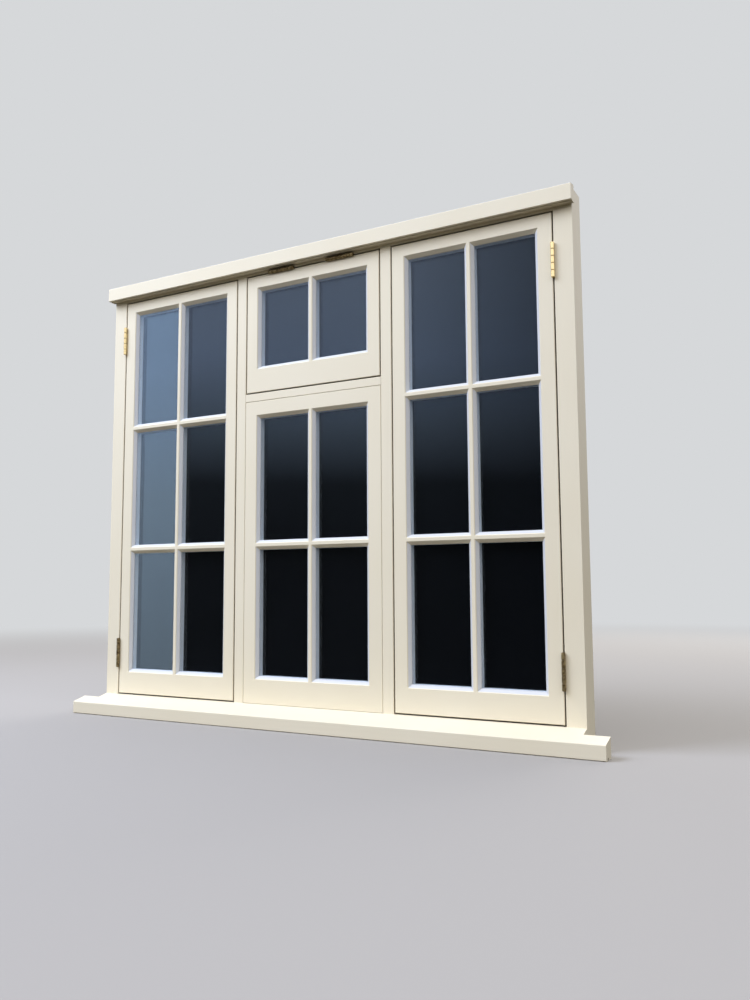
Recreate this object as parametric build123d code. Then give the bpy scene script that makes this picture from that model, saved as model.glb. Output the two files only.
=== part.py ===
from build123d import *
import os

# Three-light timber flush casement window, millimetres.
# X runs to the right seen from outside, Y runs from the outside face into the room, Z runs up.
# The origin is the middle of the sill's underside, in the plane of the frame's outside face.

# Frame
OPENING_WIDTH = 378.0
OPENING_HEIGHT = 1044.0
FRAME_DEPTH = 60.0
JAMB_FACE = 40.0
MULLION_FACE = 27.0
HEAD_FACE = 43.5
STOP_WIDTH = 10.0
TRANSOM_HEIGHT = 725.5
TRANSOM_FACE = 19.5
ARRIS = 1.0

# Sill and drip board
SILL_THICKNESS = 47.0
SILL_PROJECTION = 64.0
SILL_NOSE = 30.0
SILL_NOSE_ROUNDING = 2.5
HORN_LENGTH = 51.0
HORN_DEPTH = 37.5
THROAT_WIDTH = 6.0
THROAT_DEPTH = 5.0
THROAT_SETBACK = 12.0
DRIP_PROJECTION = 23.0
DRIP_SHOWING_HEAD = 6.0
DRIP_WEATHERING = 3.5
DRIP_OVERHANG = 5.0
DRIP_ROUNDING = 1.5
DRIP_THROAT = 3.0
DRIP_THROAT_SETBACK = 6.0

# Sashes
SASH_THICKNESS = 44.0
SASH_GAP = 3.0
FIXED_JOINT = 0.5
STOP_CLEARANCE = 2.0
STILE_SHOWING = 33.0
TOP_RAIL_SHOWING = 30.0
BOTTOM_RAIL_SHOWING = 56.5
VENT_TOP_SHOWING = 32.5
VENT_BOTTOM_SHOWING = 60.0
FIXED_TOP_SHOWING = 34.0
BEVEL = 8.0
CLOSING_BEVEL = 2.5

# Frame and sash joints
TENON_THICKNESS = 12.0
TENON_LENGTH = 20.0
TENON_SHOULDER = 5.0
TRANSOM_TENON_LENGTH = 12.0

# Glazing
GLAZING_REBATE = 12.0
GLASS_CLEARANCE = 1.0
PANE_THICKNESS = 4.0
SPACER_DEPTH = 12.0
BAR_WIDTH = 22.5
BAR_NOSE = 7.0

# Weather seals
SEAL_INSET = 5.5
SEAL_WIDTH = 3.0
SEAL_GROOVE = 3.0
SEAL_CLEARANCE = 0.3

# Flats to a round on small ironmongery; the pins and spindles that it turns on are true rounds
ROUND_FLAT_COUNT = 16
KNUCKLE_FLAT_COUNT = 12
PEG_HOLE_FLAT_COUNT = 12
HIDDEN_BORE_FLAT_COUNT = 8

# Hinges
HINGE_LENGTH = 75.0
HINGE_INSET = 103.0
HINGE_STANDOFF = 4.5
KNUCKLE_RADIUS = 4.0
KNUCKLE_COUNT = 5
KNUCKLE_END_GAP = 0.3
KNUCKLE_CLEARANCE = 0.4
LEAF_THICKNESS = 2.0
LEAF_GAP = 1.0
LEAF_WIDTH = 18.0
HINGE_PIN_RADIUS = 1.75
PIN_CLEARANCE = 0.05

# Cockspur fasteners
FASTENER_HEIGHT = 480.0
FASTENER_PLATE_WIDTH = 11.0
FASTENER_PLATE_LENGTH = 62.0
FASTENER_PLATE_THICKNESS = 2.5
FASTENER_STOP_CLEARANCE = 7.5
SPINDLE_RADIUS = 2.5
SPINDLE_CLEARANCE = 0.08
BOSS_RADIUS = 5.0
NOSE_REACH = 20.5
NOSE_RADIUS = 3.2
NOSE_THICKNESS = 4.5
LEVER_LENGTH = 66.0
LEVER_ROOT_WIDTH = 8.4
LEVER_NECK_WIDTH = 5.0
LEVER_END_RADIUS = 5.5
LEVER_EASING = 0.8
SPINDLE_CAP_THICKNESS = 1.0
STRIKER_THICKNESS = 2.0
STRIKER_WIDTH = 9.0
STRIKER_LENGTH = 44.0
TURNING_CLEARANCE = 0.3

# Peg stays
STAY_LENGTH = 250.0
VENT_STAY_LENGTH = 150.0
STAY_PIVOT_INSET = 72.0
STAY_WIDTH = 12.0
STAY_THICKNESS = 4.0
STAY_EYE_RADIUS = 8.0
STAY_LIFT = 3.0
STAY_CLEARANCE = 0.5
STAY_HOLE_RADIUS = 2.75
STAY_PIVOT_RADIUS = 3.0
STAY_CAP_RADIUS = 5.5
STAY_CAP_THICKNESS = 2.0
STAY_KNOB_RADIUS = 5.0
STAY_KNOB_HEIGHT = 9.0
PEG_RADIUS = 2.4
PEG_HEIGHT = 12.0
PEG_PLATE_LENGTH = 32.0
PEG_PLATE_THICKNESS = 2.0
FIRST_PEG_SHARE = 0.35
SECOND_PEG_SHARE = 0.7
BRACKET_WIDTH = 30.0
BRACKET_HEIGHT = 28.0
BRACKET_THICKNESS = 2.5
LUG_THICKNESS = 6.0

# Places that follow from the sizes above
centre_half = OPENING_WIDTH / 2
side_inner = centre_half + MULLION_FACE
side_outer = side_inner + OPENING_WIDTH
frame_half = side_outer + JAMB_FACE
opening_bottom = SILL_THICKNESS
opening_top = opening_bottom + OPENING_HEIGHT
frame_top = opening_top + HEAD_FACE
transom_bottom = opening_bottom + TRANSOM_HEIGHT
transom_top = transom_bottom + TRANSOM_FACE
stop_face = SASH_THICKNESS + STOP_CLEARANCE
tenon_front = SASH_THICKNESS / 2 - TENON_THICKNESS / 2
tenon_y = (tenon_front, tenon_front + TENON_THICKNESS)
unit_depth = 2 * PANE_THICKNESS + SPACER_DEPTH
unit_back = BEVEL + unit_depth


def block(x, y, z):
    """A box given by its lowest and highest x, y and z."""
    corner = (Align.MIN, Align.MIN, Align.MIN)
    return Pos(x[0], y[0], z[0]) * Box(x[1] - x[0], y[1] - y[0], z[1] - z[0], align=corner)


def along_x(profile, x):
    """A profile of (y, z) points run from x[0] to x[1]."""
    face = make_face(Polyline(*[(x[0], y, z) for y, z in profile], close=True))
    return extrude(face, amount=x[1] - x[0], dir=(1, 0, 0))


def along_y(profile, y):
    """A profile of (x, z) points run from y[0] to y[1]."""
    face = make_face(Polyline(*[(x, y[0], z) for x, z in profile], close=True))
    return extrude(face, amount=y[1] - y[0], dir=(0, 1, 0))


def along_z(profile, z):
    """A profile of (x, y) points run from z[0] to z[1]."""
    face = make_face(Polyline(*[(x, y, z[0]) for x, y in profile], close=True))
    return extrude(face, amount=z[1] - z[0], dir=(0, 0, 1))


def turned(radius, z, flats=ROUND_FLAT_COUNT):
    """A small turned piece from z[0] to z[1], its corners on the radius."""
    outline = Pos(0, 0, z[0]) * RegularPolygon(radius, flats)
    return extrude(outline, amount=z[1] - z[0], dir=(0, 0, 1))


def bored(radius, z, flats=HIDDEN_BORE_FLAT_COUNT):
    """The hole for a turned piece from z[0] to z[1], its flats on the radius."""
    outline = Pos(0, 0, z[0]) * RegularPolygon(radius, flats, major_radius=False)
    return extrude(outline, amount=z[1] - z[0], dir=(0, 0, 1))


def spindle(radius, z):
    """A true round from z[0] to z[1], which another piece turns on."""
    upward = (Align.CENTER, Align.CENTER, Align.MIN)
    return Pos(0, 0, z[0]) * Cylinder(radius, z[1] - z[0], align=upward)


def inset(rectangle, amount):
    """A rectangle ((x0, x1), (z0, z1)) drawn in by an amount on every side."""
    x, z = rectangle
    return (x[0] + amount, x[1] - amount), (z[0] + amount, z[1] - amount)


def slab(rectangle, y):
    """A rectangle ((x0, x1), (z0, z1)) made a plate from y[0] to y[1]."""
    return block(rectangle[0], y, rectangle[1])


def funnel(front, front_y, back, back_y):
    """The space between two rectangles at two depths, which a bevel leaves."""

    def at(rectangle, y):
        x, z = rectangle
        corners = [(x[0], y, z[0]), (x[1], y, z[0]), (x[1], y, z[1]), (x[0], y, z[1])]
        return make_face(Polyline(*corners, close=True))

    return loft([at(front, front_y), at(back, back_y)], ruled=True)


def group(*shapes):
    """Separate solids that share one node."""
    return Compound([solid for shape in shapes for solid in shape.solids()])


def mirrored(shape):
    """The same piece on the other side of the window's middle."""
    return mirror(shape, about=Plane.YZ)


class Sash:
    """The outline of one glazed sash, worked out from the opening that it closes."""

    def __init__(self, opening, gap, bottom_gap, top_showing, bottom_showing):
        x, z = opening
        self.outer = ((x[0] + gap, x[1] - gap), (z[0] + bottom_gap, z[1] - gap))
        self.bevel_edge = (
            (x[0] + STILE_SHOWING, x[1] - STILE_SHOWING),
            (z[0] + bottom_showing, z[1] - top_showing),
        )
        self.sight = inset(self.bevel_edge, BEVEL)
        self.rebate = inset(self.sight, -GLAZING_REBATE)
        self.glass = inset(self.rebate, GLASS_CLEARANCE)
        self.middle = (x[0] + x[1]) / 2
        self.bar_heights = []


def pane_heights(sight, bars):
    """Heights of the bars that share a sight opening into equal panes."""
    bottom, top = sight[1]
    pane = (top - bottom - bars * BAR_WIDTH) / (bars + 1)
    return [bottom + (pane + BAR_WIDTH) * (number + 1) - BAR_WIDTH / 2 for number in range(bars)]


side_opening = ((side_inner, side_outer), (opening_bottom, opening_top))
vent_opening = ((-centre_half, centre_half), (transom_top, opening_top))
fixed_opening = ((-centre_half, centre_half), (opening_bottom, transom_bottom))

casement = Sash(side_opening, SASH_GAP, SASH_GAP, TOP_RAIL_SHOWING, BOTTOM_RAIL_SHOWING)
vent = Sash(vent_opening, SASH_GAP, SASH_GAP, VENT_TOP_SHOWING, VENT_BOTTOM_SHOWING)
fixed = Sash(fixed_opening, FIXED_JOINT, 0, FIXED_TOP_SHOWING, BOTTOM_RAIL_SHOWING)

casement.bar_heights = pane_heights(casement.sight, 2)
fixed.bar_heights = casement.bar_heights[:1]


# Frame

def seal_ring(opening):
    """Weather strip set in a groove in the stop, all round one opening light."""
    depth = (SASH_THICKNESS + SEAL_CLEARANCE, stop_face + SEAL_GROOVE)
    outside = inset(opening, SEAL_INSET)
    inside = inset(outside, SEAL_WIDTH)
    return slab(outside, depth) - slab(inside, depth)


def make_sill():
    """Hardwood sill with a weathered top, a throated nose, a stop and two horns."""
    profile = [
        (-SILL_PROJECTION, 0),
        (FRAME_DEPTH, 0),
        (FRAME_DEPTH, opening_bottom + STOP_WIDTH),
        (stop_face, opening_bottom + STOP_WIDTH),
        (stop_face, opening_bottom),
        (0, opening_bottom),
        (-SILL_PROJECTION, SILL_NOSE),
    ]
    horn_half = frame_half + HORN_LENGTH
    section = make_face(Polyline(*[(-horn_half, y, z) for y, z in profile], close=True))
    nose = [v for v in section.vertices() if v.Y < -SILL_PROJECTION + ARRIS]
    section = fillet(nose, radius=SILL_NOSE_ROUNDING)
    sill = extrude(section, amount=2 * horn_half, dir=(1, 0, 0))
    for side in (-1, 1):
        ends = sorted((side * frame_half, side * horn_half))
        behind_horn = (-SILL_PROJECTION + HORN_DEPTH, FRAME_DEPTH)
        sill -= block(ends, behind_horn, (0, opening_bottom + STOP_WIDTH))
    throat_front = -SILL_PROJECTION + THROAT_SETBACK
    throat = (throat_front, throat_front + THROAT_WIDTH)
    return sill - block((-horn_half, horn_half), throat, (0, THROAT_DEPTH))


def make_head():
    """Head with its stop, the front arris eased."""
    profile = [
        (0, opening_top + ARRIS),
        (ARRIS, opening_top),
        (stop_face, opening_top),
        (stop_face, opening_top - STOP_WIDTH),
        (FRAME_DEPTH, opening_top - STOP_WIDTH),
        (FRAME_DEPTH, frame_top),
        (0, frame_top),
    ]
    return along_x(profile, (-frame_half, frame_half))


def make_jamb():
    """Right jamb, rebated to an L, before its feet are scribed."""
    profile = [
        (side_outer + ARRIS, 0),
        (frame_half, 0),
        (frame_half, FRAME_DEPTH),
        (side_outer - STOP_WIDTH, FRAME_DEPTH),
        (side_outer - STOP_WIDTH, stop_face),
        (side_outer, stop_face),
        (side_outer, ARRIS),
    ]
    return along_z(profile, (opening_bottom, opening_top))


def make_mullion():
    """Right mullion, rebated on both sides to a T, before its feet are scribed."""
    profile = [
        (centre_half + ARRIS, 0),
        (side_inner - ARRIS, 0),
        (side_inner, ARRIS),
        (side_inner, stop_face),
        (side_inner + STOP_WIDTH, stop_face),
        (side_inner + STOP_WIDTH, FRAME_DEPTH),
        (centre_half - STOP_WIDTH, FRAME_DEPTH),
        (centre_half - STOP_WIDTH, stop_face),
        (centre_half, stop_face),
        (centre_half, ARRIS),
    ]
    return along_z(profile, (opening_bottom, opening_top))


def make_transom():
    """Transom between the mullions, rebated above and below."""
    profile = [
        (0, transom_bottom + ARRIS),
        (ARRIS, transom_bottom),
        (stop_face, transom_bottom),
        (stop_face, transom_bottom - STOP_WIDTH),
        (FRAME_DEPTH, transom_bottom - STOP_WIDTH),
        (FRAME_DEPTH, transom_top + STOP_WIDTH),
        (stop_face, transom_top + STOP_WIDTH),
        (stop_face, transom_top),
        (ARRIS, transom_top),
        (0, transom_top - ARRIS),
    ]
    return along_x(profile, (-centre_half, centre_half))


def make_drip_board():
    """Drip board on the head's face, weathered on top and throated below."""
    bottom = opening_top + DRIP_SHOWING_HEAD
    half = frame_half + DRIP_OVERHANG
    profile = [
        (-DRIP_PROJECTION, bottom),
        (0, bottom),
        (0, frame_top),
        (-DRIP_PROJECTION, frame_top - DRIP_WEATHERING),
    ]
    section = make_face(Polyline(*[(-half, y, z) for y, z in profile], close=True))
    front = [v for v in section.vertices() if v.Y < -DRIP_PROJECTION / 2]
    section = fillet(front, radius=DRIP_ROUNDING)
    board = extrude(section, amount=2 * half, dir=(1, 0, 0))
    throat_front = -DRIP_PROJECTION + DRIP_THROAT_SETBACK
    throat = (throat_front, throat_front + DRIP_THROAT)
    return board - block((-half, half), throat, (bottom, bottom + DRIP_THROAT))


def upright_tenons(x):
    """The tenons on both ends of a jamb or mullion that shows from x[0] to x[1]."""
    across = (x[0] + TENON_SHOULDER, x[1] - TENON_SHOULDER)
    foot = block(across, tenon_y, (opening_bottom - TENON_LENGTH, opening_bottom))
    top = block(across, tenon_y, (opening_top, opening_top + TENON_LENGTH))
    return [foot, top]


def make_frame():
    """The eight frame timbers, jointed, and the three weather seals."""
    sill, head = make_sill(), make_head()
    jamb_tenons = upright_tenons((side_outer, frame_half))
    mullion_tenons = upright_tenons((centre_half, side_inner))
    jamb = make_jamb() - sill - head
    mullion = make_mullion() - sill - head
    transom = make_transom() - mullion - mirrored(mullion)
    for tenon in jamb_tenons:
        jamb += tenon
    for tenon in mullion_tenons:
        mullion += tenon
    for tenon in jamb_tenons + mullion_tenons:
        sill = sill - tenon - mirrored(tenon)
        head = head - tenon - mirrored(tenon)
    tenon_z = (transom_bottom + TENON_SHOULDER - ARRIS, transom_top - TENON_SHOULDER + ARRIS)
    transom_tenon = block((centre_half, centre_half + TRANSOM_TENON_LENGTH), tenon_y, tenon_z)
    mullion -= transom_tenon
    transom = transom + transom_tenon + mirrored(transom_tenon)

    right_seal = seal_ring(side_opening)
    vent_seal = seal_ring(vent_opening)
    timbers = {
        "sill": sill,
        "head": head,
        "left_jamb": mirrored(jamb),
        "right_jamb": jamb,
        "left_mullion": mirrored(mullion),
        "right_mullion": mullion,
        "transom": transom,
    }
    for name in timbers:
        timbers[name] = timbers[name] - right_seal - mirrored(right_seal) - vent_seal
    timbers["drip_board"] = make_drip_board()
    timbers["weather_seals"] = group(mirrored(right_seal), right_seal, vent_seal)
    return timbers


# Sash timbers

def stile_region(sash, side):
    """What belongs to a stile: its full height, mitred to the rails across the bevel."""
    outer, bevel_edge, sight = sash.outer[0][side], sash.bevel_edge[0][side], sash.sight[0][side]
    outline = [
        (outer, sash.outer[1][0]),
        (bevel_edge, sash.outer[1][0]),
        (bevel_edge, sash.bevel_edge[1][0]),
        (sight, sash.sight[1][0]),
        (sight, sash.sight[1][1]),
        (bevel_edge, sash.bevel_edge[1][1]),
        (bevel_edge, sash.outer[1][1]),
        (outer, sash.outer[1][1]),
    ]
    return along_y(outline, (0, SASH_THICKNESS))


def sash_blank(sash):
    """All four members at once: eased outside arris, bevelled lip, open glazing rebate."""
    blank = slab(sash.outer, (0, SASH_THICKNESS))
    front = blank.faces().sort_by(Axis.Y)[0]
    blank = chamfer(front.edges(), ARRIS)
    blank -= slab(sash.rebate, (BEVEL, SASH_THICKNESS))
    return blank - funnel(sash.bevel_edge, 0, sash.sight, BEVEL)


def sash_members(sash, blank):
    """Two stiles and two rails cut from the blank, with the rails' tenons let into the stiles."""
    stiles = [blank & stile_region(sash, side) for side in (0, 1)]
    rails = blank - stile_region(sash, 0) - stile_region(sash, 1)
    bottom_rail, top_rail = [Part() + solid for solid in rails.solids().sort_by(Axis.Z)]
    heights = [
        (sash.outer[1][0] + TENON_SHOULDER, sash.rebate[1][0] - TENON_SHOULDER),
        (sash.rebate[1][1] + TENON_SHOULDER, sash.outer[1][1] - TENON_SHOULDER),
    ]
    for side, direction in ((0, -1), (1, 1)):
        shoulder = sash.bevel_edge[0][side]
        reach = sorted((shoulder, shoulder + direction * TENON_LENGTH))
        bottom_tenon = block(reach, tenon_y, heights[0])
        top_tenon = block(reach, tenon_y, heights[1])
        stiles[side] = stiles[side] - bottom_tenon - top_tenon
        bottom_rail += bottom_tenon
        top_rail += top_tenon
    return stiles[0], stiles[1], bottom_rail, top_rail


# Glazing

def make_glass(sash):
    """The outer and the inner pane of a sealed unit."""
    outer_pane = slab(sash.glass, (BEVEL, BEVEL + PANE_THICKNESS))
    inner_pane = slab(sash.glass, (unit_back - PANE_THICKNESS, unit_back))
    return group(outer_pane, inner_pane)


def make_spacer(sash):
    """The spacer between the panes: a rim, and a bar behind every glazing bar."""
    depth = (BEVEL + PANE_THICKNESS, unit_back - PANE_THICKNESS)
    spacer = slab(sash.glass, depth) - slab(sash.sight, depth)
    for bar in bar_strips(sash):
        spacer += slab(bar, depth)
    return spacer


def bar_strips(sash):
    """The sight-wide strips that the bars cover, the upright one first."""
    half = BAR_WIDTH / 2
    strips = [((sash.middle - half, sash.middle + half), sash.bevel_edge[1])]
    for height in sash.bar_heights:
        strips.append((sash.bevel_edge[0], (height - half, height + half)))
    return [(clip(x, sash.sight[0]), clip(z, sash.sight[1])) for x, z in strips]


def clip(span, limits):
    """A span kept within limits."""
    return max(span[0], limits[0]), min(span[1], limits[1])


def bar_profile(centre, glass_side, straight, nose_side):
    """A bar's section as (across, depth) points: square at the glass, tapered to its nose."""
    wide, narrow = BAR_WIDTH / 2, BAR_NOSE / 2
    return [
        (centre - wide, glass_side),
        (centre + wide, glass_side),
        (centre + wide, straight),
        (centre + narrow, nose_side),
        (centre - narrow, nose_side),
        (centre - wide, straight),
    ]


def outer_bar_profile(centre):
    """The outside bars taper over the whole depth of the lip."""
    wide, narrow = BAR_WIDTH / 2, BAR_NOSE / 2
    return [
        (centre - wide, BEVEL),
        (centre + wide, BEVEL),
        (centre + narrow, 0),
        (centre - narrow, 0),
    ]


def fitted_bars(sash, profile, space):
    """One upright bar and cross bars scribed to it, all scribed to the bevels round them."""
    upright = along_z(profile(sash.middle), sash.bevel_edge[1])
    bars = [upright & space]
    for height in sash.bar_heights:
        section = [(depth, across) for across, depth in profile(height)]
        cross_bar = along_x(section, sash.bevel_edge[0]) & space
        bars.append(cross_bar - upright)
    return group(*bars)


def make_bars(sash):
    """The bars on the outside and on the room side of the unit."""
    bead_straight = SASH_THICKNESS - BEVEL
    outside_space = funnel(sash.bevel_edge, 0, sash.sight, BEVEL)
    inside_space = slab(sash.sight, (unit_back, bead_straight))
    inside_space += funnel(sash.sight, bead_straight, sash.bevel_edge, SASH_THICKNESS)

    def inner_bar_profile(centre):
        return bar_profile(centre, unit_back, bead_straight, SASH_THICKNESS)

    outer_bars = fitted_bars(sash, outer_bar_profile, outside_space)
    inner_bars = fitted_bars(sash, inner_bar_profile, inside_space)
    return group(outer_bars, inner_bars)


def make_beads(sash):
    """Four mitred glazing beads that hold the unit from the room side."""
    bead_straight = SASH_THICKNESS - BEVEL
    ring = slab(sash.rebate, (unit_back, SASH_THICKNESS))
    ring -= slab(sash.sight, (unit_back, bead_straight))
    ring -= funnel(sash.sight, bead_straight, sash.bevel_edge, SASH_THICKNESS)
    beads = []
    for side in (0, 1):
        rebate_x, sight_x = sash.rebate[0][side], sash.sight[0][side]
        upright = [
            (rebate_x, sash.rebate[1][0]),
            (sight_x, sash.sight[1][0]),
            (sight_x, sash.sight[1][1]),
            (rebate_x, sash.rebate[1][1]),
        ]
        rebate_z, sight_z = sash.rebate[1][side], sash.sight[1][side]
        level = [
            (sash.rebate[0][0], rebate_z),
            (sash.sight[0][0], sight_z),
            (sash.sight[0][1], sight_z),
            (sash.rebate[0][1], rebate_z),
        ]
        for outline in (upright, level):
            beads.append(ring & along_y(outline, (unit_back, SASH_THICKNESS)))
    return group(*beads)


# Butt hinges, drawn about their own axis: the frame leaf at +X, the sash leaf at -X

def knuckle_span(number):
    """The lower and upper end of one knuckle, counted from the bottom."""
    pitch = HINGE_LENGTH / KNUCKLE_COUNT
    bottom = -HINGE_LENGTH / 2 + number * pitch
    low_gap = 0 if number == 0 else KNUCKLE_END_GAP / 2
    high_gap = 0 if number == KNUCKLE_COUNT - 1 else KNUCKLE_END_GAP / 2
    return bottom + low_gap, bottom + pitch - high_gap


def make_leaf(own_first):
    """One leaf at +X with every second knuckle, starting with knuckle own_first."""
    depth = HINGE_STANDOFF + LEAF_WIDTH
    span = (-HINGE_LENGTH / 2, HINGE_LENGTH / 2)
    thickness = (LEAF_GAP / 2, LEAF_GAP / 2 + LEAF_THICKNESS)
    leaf = block(thickness, (0, depth), span)
    for number in range(KNUCKLE_COUNT):
        low, high = knuckle_span(number)
        if number % 2 == own_first:
            leaf += turned(KNUCKLE_RADIUS, (low, high), KNUCKLE_FLAT_COUNT)
        else:
            cut_back = (0, KNUCKLE_RADIUS + KNUCKLE_CLEARANCE)
            leaf -= block(thickness, cut_back, (low - KNUCKLE_END_GAP, high + KNUCKLE_END_GAP))
    return leaf - bored(HINGE_PIN_RADIUS + PIN_CLEARANCE, span)


def make_hinge_pin():
    """The fixed pin, its ends filed flush with the knuckles."""
    return spindle(HINGE_PIN_RADIUS, (-HINGE_LENGTH / 2, HINGE_LENGTH / 2))


def place_hinges(shape):
    """One hinge piece at all six places: left casement, right casement and vent, two each."""
    side_axis = side_outer - SASH_GAP / 2
    vent_axis = opening_top - SASH_GAP / 2
    right = [
        Pos(side_axis, -HINGE_STANDOFF, casement.outer[1][0] + HINGE_INSET) * shape,
        Pos(side_axis, -HINGE_STANDOFF, casement.outer[1][1] - HINGE_INSET) * shape,
    ]
    level = Rot(0, -90, 0) * shape
    top = [
        Pos(vent.outer[0][0] + HINGE_INSET, -HINGE_STANDOFF, vent_axis) * level,
        Pos(vent.outer[0][1] - HINGE_INSET, -HINGE_STANDOFF, vent_axis) * level,
    ]
    left = [mirrored(piece) for piece in right]
    return {"left_casement": left, "right_casement": right, "vent": top}


# Cockspur fastener of the right casement

def make_fastener():
    """Plate with its spindle, turning handle, and the striker on the mullion's stop."""
    pivot_x = side_inner + STOP_WIDTH + FASTENER_STOP_CLEARANCE + FASTENER_PLATE_WIDTH / 2
    plate_back = SASH_THICKNESS + FASTENER_PLATE_THICKNESS
    striker_back = FRAME_DEPTH + STRIKER_THICKNESS
    nose_front = striker_back + TURNING_CLEARANCE
    handle_back = nose_front + NOSE_THICKNESS
    pivot = Pos(pivot_x, 0, FASTENER_HEIGHT)
    lying = Rot(-90, 0, 0)

    def disc(radius, y):
        return lying * turned(radius, y)

    end_radius = FASTENER_PLATE_WIDTH / 2
    straight = FASTENER_PLATE_LENGTH / 2 - end_radius
    plate = block((-end_radius, end_radius), (SASH_THICKNESS, plate_back), (-straight, straight))
    for end in (-straight, straight):
        plate += Pos(0, 0, end) * disc(end_radius, (SASH_THICKNESS, plate_back))
    cap_front = handle_back + TURNING_CLEARANCE
    plate += lying * spindle(SPINDLE_RADIUS, (plate_back, cap_front))
    cap = (cap_front, cap_front + SPINDLE_CAP_THICKNESS)
    plate += disc(BOSS_RADIUS - ARRIS, cap)

    handle = disc(BOSS_RADIUS, (plate_back + TURNING_CLEARANCE, handle_back))
    nose_y = (nose_front, handle_back)
    nose_middle = -NOSE_REACH + NOSE_RADIUS
    handle += block((-NOSE_RADIUS, NOSE_RADIUS), nose_y, (nose_middle, 0))
    handle += Pos(0, 0, nose_middle) * disc(NOSE_RADIUS, nose_y)
    end_middle = LEVER_LENGTH - LEVER_END_RADIUS
    lever_outline = [
        (0, -LEVER_ROOT_WIDTH / 2),
        (end_middle, -LEVER_NECK_WIDTH / 2),
        (end_middle, LEVER_NECK_WIDTH / 2),
        (0, LEVER_ROOT_WIDTH / 2),
    ]
    lever = along_y(lever_outline, nose_y) + Pos(end_middle, 0, 0) * disc(LEVER_END_RADIUS, nose_y)
    lever = chamfer(lever.faces().sort_by(Axis.Y)[-1].edges(), LEVER_EASING)
    handle += lever
    handle -= lying * bored(SPINDLE_RADIUS + SPINDLE_CLEARANCE, (plate_back, handle_back))

    striker_x = (side_inner + STOP_WIDTH - STRIKER_WIDTH, side_inner + STOP_WIDTH)
    striker_z = (-STRIKER_LENGTH / 2, STRIKER_LENGTH / 2)
    striker = block(striker_x, (FRAME_DEPTH, striker_back), striker_z)
    striker = chamfer(striker.faces().sort_by(Axis.Y)[-1].edges(), STRIKER_THICKNESS / 2)
    return pivot * plate, pivot * handle, Pos(0, 0, FASTENER_HEIGHT) * striker


# Peg stays

def make_stay(length):
    """A stay about its own pivot, the arm towards -X: bracket, arm, and the two pegs."""
    peg_top = PEG_PLATE_THICKNESS + PEG_HEIGHT
    arm_bottom = peg_top + STAY_LIFT
    arm_top = arm_bottom + STAY_THICKNESS
    lug_top = arm_bottom - TURNING_CLEARANCE
    cap_bottom = arm_top + TURNING_CLEARANCE
    back_of_plate = SASH_THICKNESS + BRACKET_THICKNESS
    pivot_y = back_of_plate + STAY_CLEARANCE + STAY_WIDTH / 2

    def post(x, radius, z):
        return Pos(x, pivot_y, 0) * turned(radius, z)

    def hole(x, radius, flats):
        return Pos(x, pivot_y, 0) * bored(radius, (arm_bottom, arm_top), flats)

    plate_bottom = lug_top - LUG_THICKNESS - BRACKET_THICKNESS
    half = BRACKET_WIDTH / 2
    bracket = block(
        (-half, half), (SASH_THICKNESS, back_of_plate), (plate_bottom, plate_bottom + BRACKET_HEIGHT)
    )
    lug = (lug_top - LUG_THICKNESS, lug_top)
    lug_end = pivot_y + STAY_EYE_RADIUS
    bracket += block((-STAY_EYE_RADIUS, STAY_EYE_RADIUS), (back_of_plate, pivot_y), lug)
    bracket += post(0, STAY_EYE_RADIUS, lug) & block((-half, half), (back_of_plate, lug_end), lug)
    bracket += Pos(0, pivot_y, 0) * spindle(STAY_PIVOT_RADIUS, (lug_top, cap_bottom))
    bracket += post(0, STAY_CAP_RADIUS, (cap_bottom, cap_bottom + STAY_CAP_THICKNESS))

    arm_z = (arm_bottom, arm_top)
    tail = -length + STAY_WIDTH / 2
    arm_y = (pivot_y - STAY_WIDTH / 2, pivot_y + STAY_WIDTH / 2)
    arm = block((tail, 0), arm_y, arm_z)
    arm += post(tail, STAY_WIDTH / 2, arm_z)
    arm += post(0, STAY_WIDTH / 2, arm_z)
    arm += post(tail, STAY_KNOB_RADIUS, (arm_top, arm_top + STAY_KNOB_HEIGHT))
    arm -= hole(0, STAY_PIVOT_RADIUS + SPINDLE_CLEARANCE, HIDDEN_BORE_FLAT_COUNT)
    pegs = []
    for share in (FIRST_PEG_SHARE, SECOND_PEG_SHARE):
        x = -length * share
        plate_x = (x - PEG_PLATE_LENGTH / 2, x + PEG_PLATE_LENGTH / 2)
        plate = block(plate_x, arm_y, (0, PEG_PLATE_THICKNESS))
        pegs.append(plate + post(x, PEG_RADIUS, (PEG_PLATE_THICKNESS, peg_top)))
        arm -= hole(x, STAY_HOLE_RADIUS, PEG_HOLE_FLAT_COUNT)
    return bracket, arm, pegs


# Assembly

def make_sash_nodes(sash, cut_from_edges):
    """Every node of one glazed sash, by name."""
    blank = sash_blank(sash)
    for cutter in cut_from_edges:
        blank -= cutter
    left_stile, right_stile, bottom_rail, top_rail = sash_members(sash, blank)
    return {
        "left_stile": left_stile,
        "right_stile": right_stile,
        "bottom_rail": bottom_rail,
        "top_rail": top_rail,
        "glass": make_glass(sash),
        "spacer": make_spacer(sash),
        "bars": make_bars(sash),
        "beads": make_beads(sash),
    }


def closing_wedges():
    """What is planed off the closing edges so that they clear the frame as they swing."""
    (x0, x1), (z0, z1) = casement.outer
    side = along_z([(x0, 0), (x0, SASH_THICKNESS), (x0 + CLOSING_BEVEL, SASH_THICKNESS)], (z0, z1))
    (x0, x1), (z0, z1) = vent.outer
    below = along_x([(0, z0), (SASH_THICKNESS, z0), (SASH_THICKNESS, z0 + CLOSING_BEVEL)], (x0, x1))
    return side, below


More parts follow.
